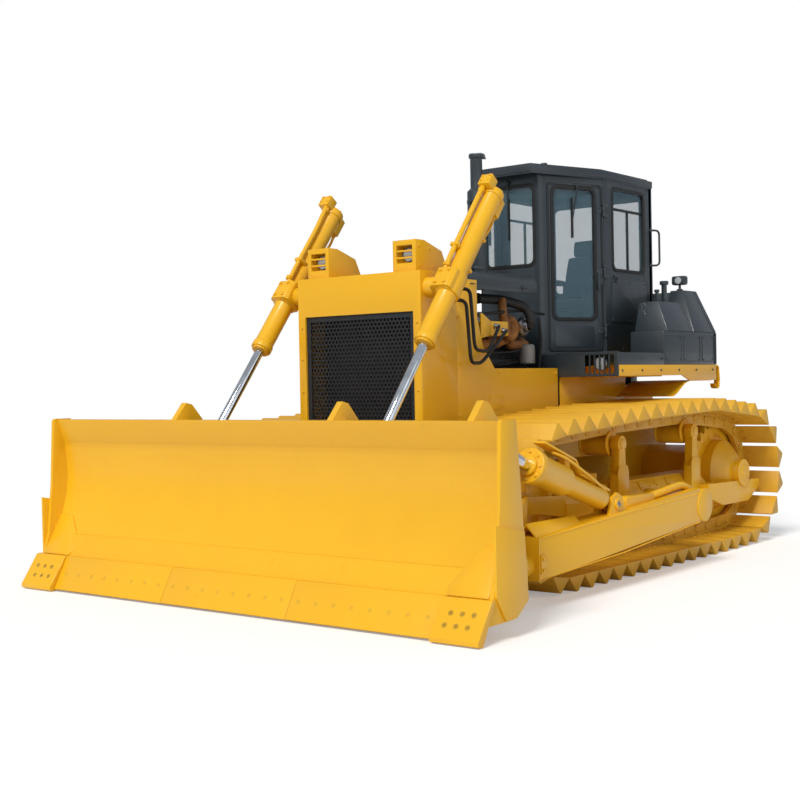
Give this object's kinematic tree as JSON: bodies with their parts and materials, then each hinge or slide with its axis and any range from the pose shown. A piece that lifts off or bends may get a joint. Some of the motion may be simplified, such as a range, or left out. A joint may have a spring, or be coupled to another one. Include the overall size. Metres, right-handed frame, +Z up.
{
  "type": "crawler bulldozer",
  "caption": "Low-ground-pressure crawler dozer with a wide straight blade on push arms, hydraulic lift cylinders, swamp shoes and an enclosed six-sided cab.",
  "frame": {"origin": "on the ground, midway between the machine's sides and between its foremost and rearmost points", "axes": "+Z up, -Y forward to the blade, +X to the machine's left"},
  "size_m": [4.365, 6.0202, 3.556],
  "materials": {
    "yellow_paint": "semi-gloss yellow enamel",
    "dark_paint": "satin charcoal enamel",
    "cab_glass": "clear pale blue",
    "lamp_glass": "clear",
    "seat_cover": "matt black",
    "dark_plastic": "matt",
    "grille_black": "satin black",
    "chrome_rod": "polished",
    "engine_black": "satin",
    "cast_housing": "rough",
    "bare_steel": "weathered"
  },
  "bodies": {
    "chassis": {"track_left": "yellow_paint", "track_right": "yellow_paint", "track_frame_left": "yellow_paint", "track_frame_right": "yellow_paint", "sprockets": "yellow_paint", "idlers": "yellow_paint", "track_rollers": "yellow_paint", "carrier_rollers": "yellow_paint", "final_drives": "yellow_paint", "headlamps": "yellow_paint", "headlamp_lenses": "lamp_glass", "side_plates": "yellow_paint", "fenders": "yellow_paint", "fender_boxes": "dark_paint", "main_frame": "yellow_paint", "drawbar": "yellow_paint", "equalizer_bar": "yellow_paint", "radiator_guard": "yellow_paint", "grille": "grille_black", "hood": "dark_paint", "engine_block": "engine_black", "turbocharger": "cast_housing", "engine_bracket": "yellow_paint", "muffler": "dark_paint", "rear_tanks": "dark_paint", "cab_body": "dark_paint", "cab_roof": "dark_paint", "cab_glass": "cab_glass", "seat": "seat_cover", "console": "dark_plastic", "platform": "dark_paint"},
    "blade_frame": {"moldboard": "yellow_paint", "cutting_edge": "yellow_paint", "end_bits": "yellow_paint", "push_arm_left": "yellow_paint", "push_arm_right": "yellow_paint", "tilt_barrel": "yellow_paint", "tilt_rod": "chrome_rod", "tilt_brace": "yellow_paint"},
    "lift_barrel_left": {"lift_cylinder_left": "yellow_paint"},
    "lift_barrel_right": {"lift_cylinder_right": "yellow_paint"},
    "lift_stick_left": {"lift_rod_left": "chrome_rod"},
    "lift_stick_right": {"lift_rod_right": "chrome_rod"},
    "door_leaf_left": {"door_left": "dark_paint", "door_glass_left": "cab_glass"},
    "door_leaf_right": {"door_right": "dark_paint", "door_glass_right": "cab_glass"},
    "exhaust_flap": {"rain_cap": "bare_steel"}
  },
  "joints": [
    {"name": "blade_lift", "type": "hinge", "parent": "chassis", "child": "blade_frame", "pos_m": [0, 0.76192, 0.51], "axis": [-1, 0, 0], "range_deg": [-8, 17]},
    {"name": "lift_trunnion_left", "type": "hinge", "parent": "chassis", "child": "lift_barrel_left", "pos_m": [0.822, -1.33808, 2.27], "axis": [-1, 0, 0], "range_deg": [-9, 19]},
    {"name": "lift_stroke_left", "type": "slide", "parent": "lift_barrel_left", "child": "lift_stick_left", "axis": [0, -0.6186, -0.7857], "range_m": [-0.801, 0.378]},
    {"name": "lift_trunnion_right", "type": "hinge", "parent": "chassis", "child": "lift_barrel_right", "pos_m": [-0.822, -1.33808, 2.27], "axis": [-1, 0, 0], "range_deg": [-9, 19]},
    {"name": "lift_stroke_right", "type": "slide", "parent": "lift_barrel_right", "child": "lift_stick_right", "axis": [0, -0.6186, -0.7857], "range_m": [-0.801, 0.378]},
    {"name": "door_hinge_left", "type": "hinge", "parent": "chassis", "child": "door_leaf_left", "pos_m": [0.59567, 1.36951, 2.5], "axis": [0, 0, 1], "range_deg": [0, 100]},
    {"name": "door_hinge_right", "type": "hinge", "parent": "chassis", "child": "door_leaf_right", "pos_m": [-0.59567, 1.36951, 2.5], "axis": [0, 0, -1], "range_deg": [0, 100]},
    {"name": "exhaust_flap_hinge", "type": "hinge", "parent": "chassis", "child": "exhaust_flap", "pos_m": [0, 0.27992, 3.542], "axis": [-1, 0, 0], "range_deg": [0, 60]}
  ],
  "couplings": [
    {"joint": "lift_trunnion_left", "follows": "blade_lift", "ratio": 1.1},
    {"joint": "lift_stroke_left", "follows": "blade_lift", "m_per_rad": -2.6929},
    {"joint": "lift_trunnion_right", "follows": "blade_lift", "ratio": 1.1},
    {"joint": "lift_stroke_right", "follows": "blade_lift", "m_per_rad": -2.6929}
  ]
}
